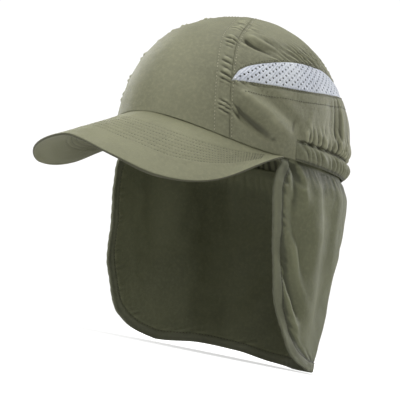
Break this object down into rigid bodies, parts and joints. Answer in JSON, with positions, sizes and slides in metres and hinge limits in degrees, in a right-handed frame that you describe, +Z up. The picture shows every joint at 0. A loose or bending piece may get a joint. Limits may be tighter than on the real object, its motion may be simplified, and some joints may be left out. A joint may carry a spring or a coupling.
{
  "type": "legionnaire cap",
  "caption": "Sun cap with a curved visor, perforated side vents, a gathered elastic back and a hemmed flap that hangs over the neck and ears.",
  "frame": {"origin": "centre of the head opening, in the level plane of the rim at the sides and back", "axes": "+Z up through the crown, -Y towards the visor, +X to the wearer's left"},
  "size_m": [0.1774, 0.2809, 0.2564],
  "materials": {
    "crown_cloth": "matt olive microfibre",
    "visor_cloth": "matt olive microfibre over a stiff visor board",
    "flap_cloth": "matt olive microfibre",
    "casing_cloth": "gathered olive microfibre",
    "vent_fabric": "pale grey perforated fabric"
  },
  "bodies": {
    "root": {"front_panel": "crown_cloth", "upper_back_panel": "crown_cloth", "lower_back_panel": "crown_cloth", "vent_left": "vent_fabric", "vent_right": "vent_fabric", "elastic_casing": "casing_cloth", "visor": "visor_cloth", "neck_flap": "flap_cloth"}
  },
  "joints": []
}
